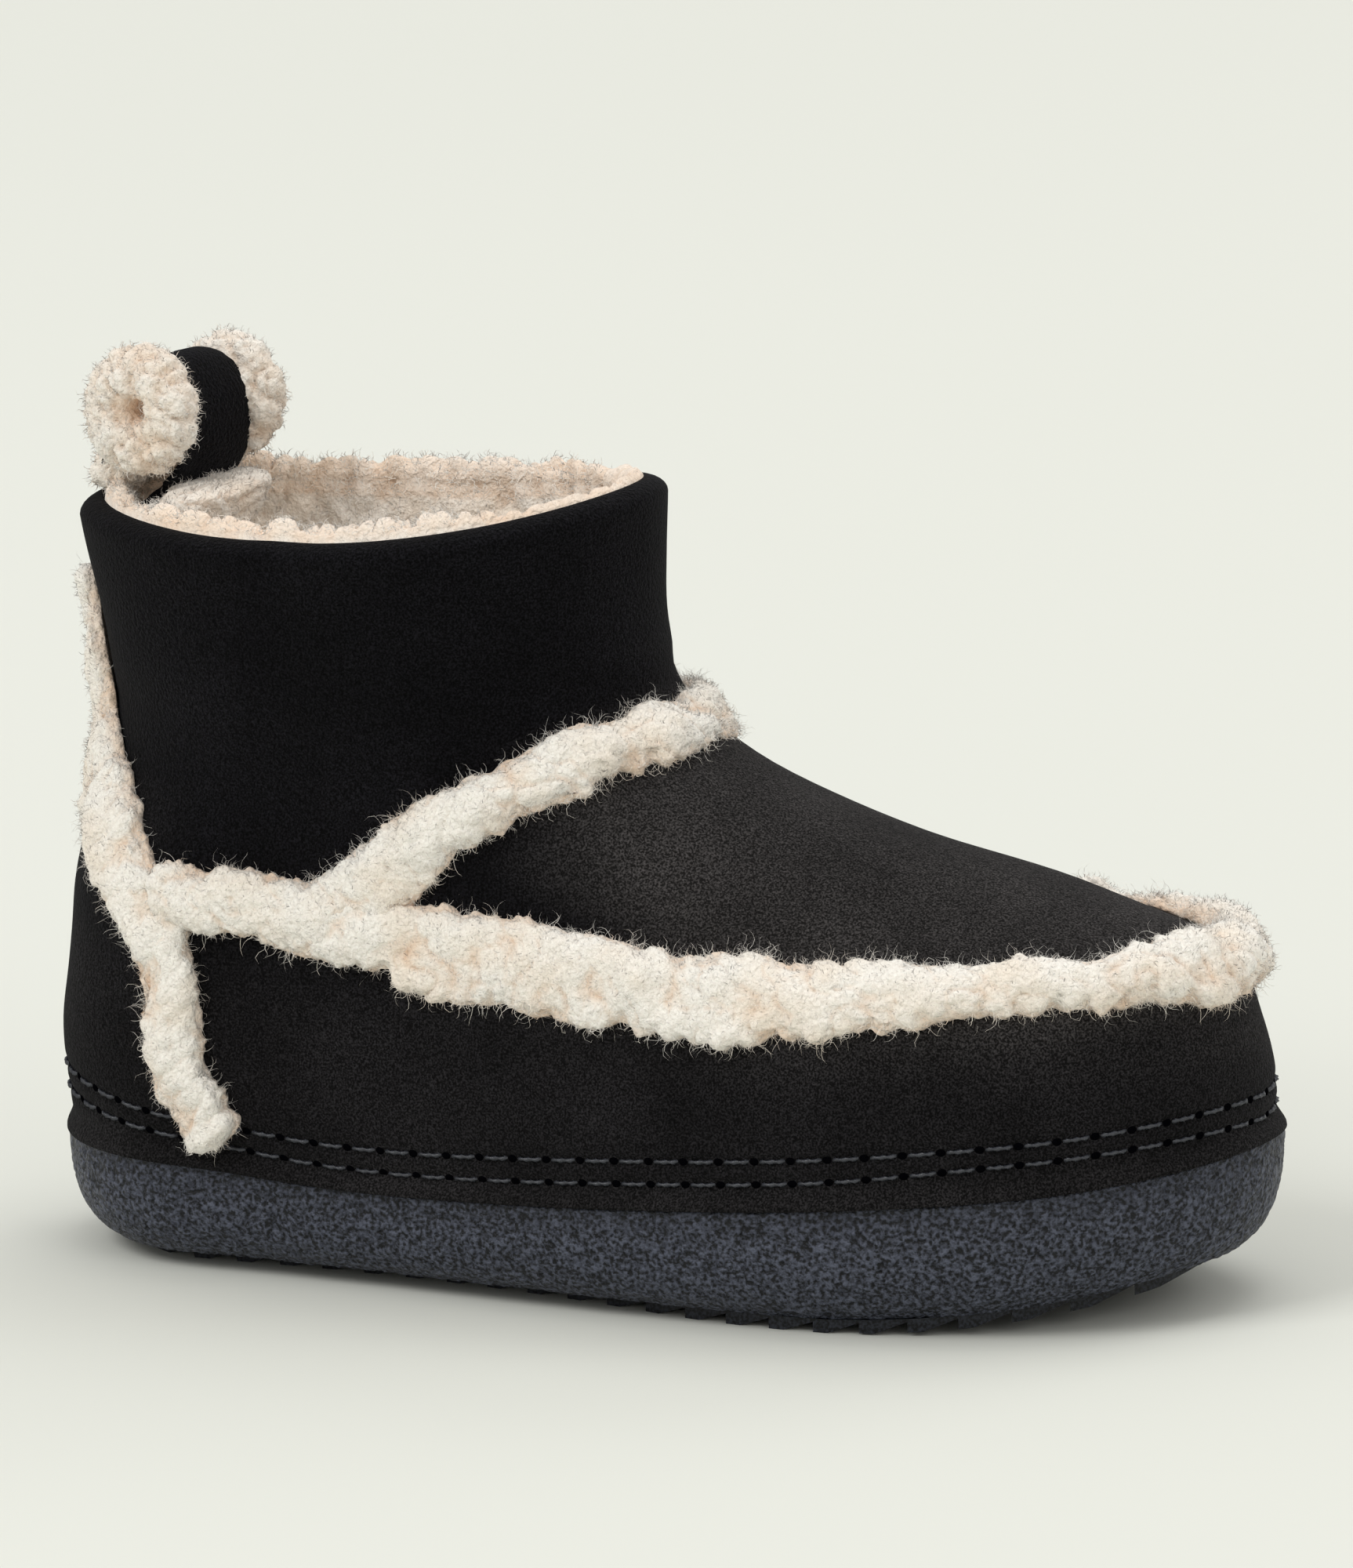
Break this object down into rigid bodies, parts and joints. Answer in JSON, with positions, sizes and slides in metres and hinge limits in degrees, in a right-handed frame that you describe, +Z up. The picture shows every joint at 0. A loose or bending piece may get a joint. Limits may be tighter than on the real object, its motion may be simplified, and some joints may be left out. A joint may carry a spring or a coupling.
{
  "type": "sheepskin ankle boot",
  "caption": "Right-foot sheepskin ankle boot with a suede upper, wool seam strips, a wool pull loop at the back of the collar and a thick rubber sole with a sawtooth tread.",
  "frame": {"origin": "on the floor under the middle of the standing boot's box", "axes": "+X towards the toe, +Y towards the inner (medial) side of the foot, +Z up from the floor"},
  "size_m": [0.2809, 0.1129, 0.2017],
  "materials": {
    "suede": "black sheepskin suede with a fine short nap, matt",
    "wool": "cream sheepskin wool, deep curly pile",
    "sole_rubber": "dark blue-grey rubber with a pebbled side, satin",
    "tread_rubber": "dark blue-grey smooth rubber, satin"
  },
  "bodies": {
    "root": {"outsole": "tread_rubber", "midsole": "sole_rubber", "insole": "wool", "upper": "suede", "trim_side": "wool", "trim_instep": "wool", "trim_heel_outer": "wool", "trim_heel_inner": "wool", "pull_loop": "wool"}
  },
  "joints": []
}
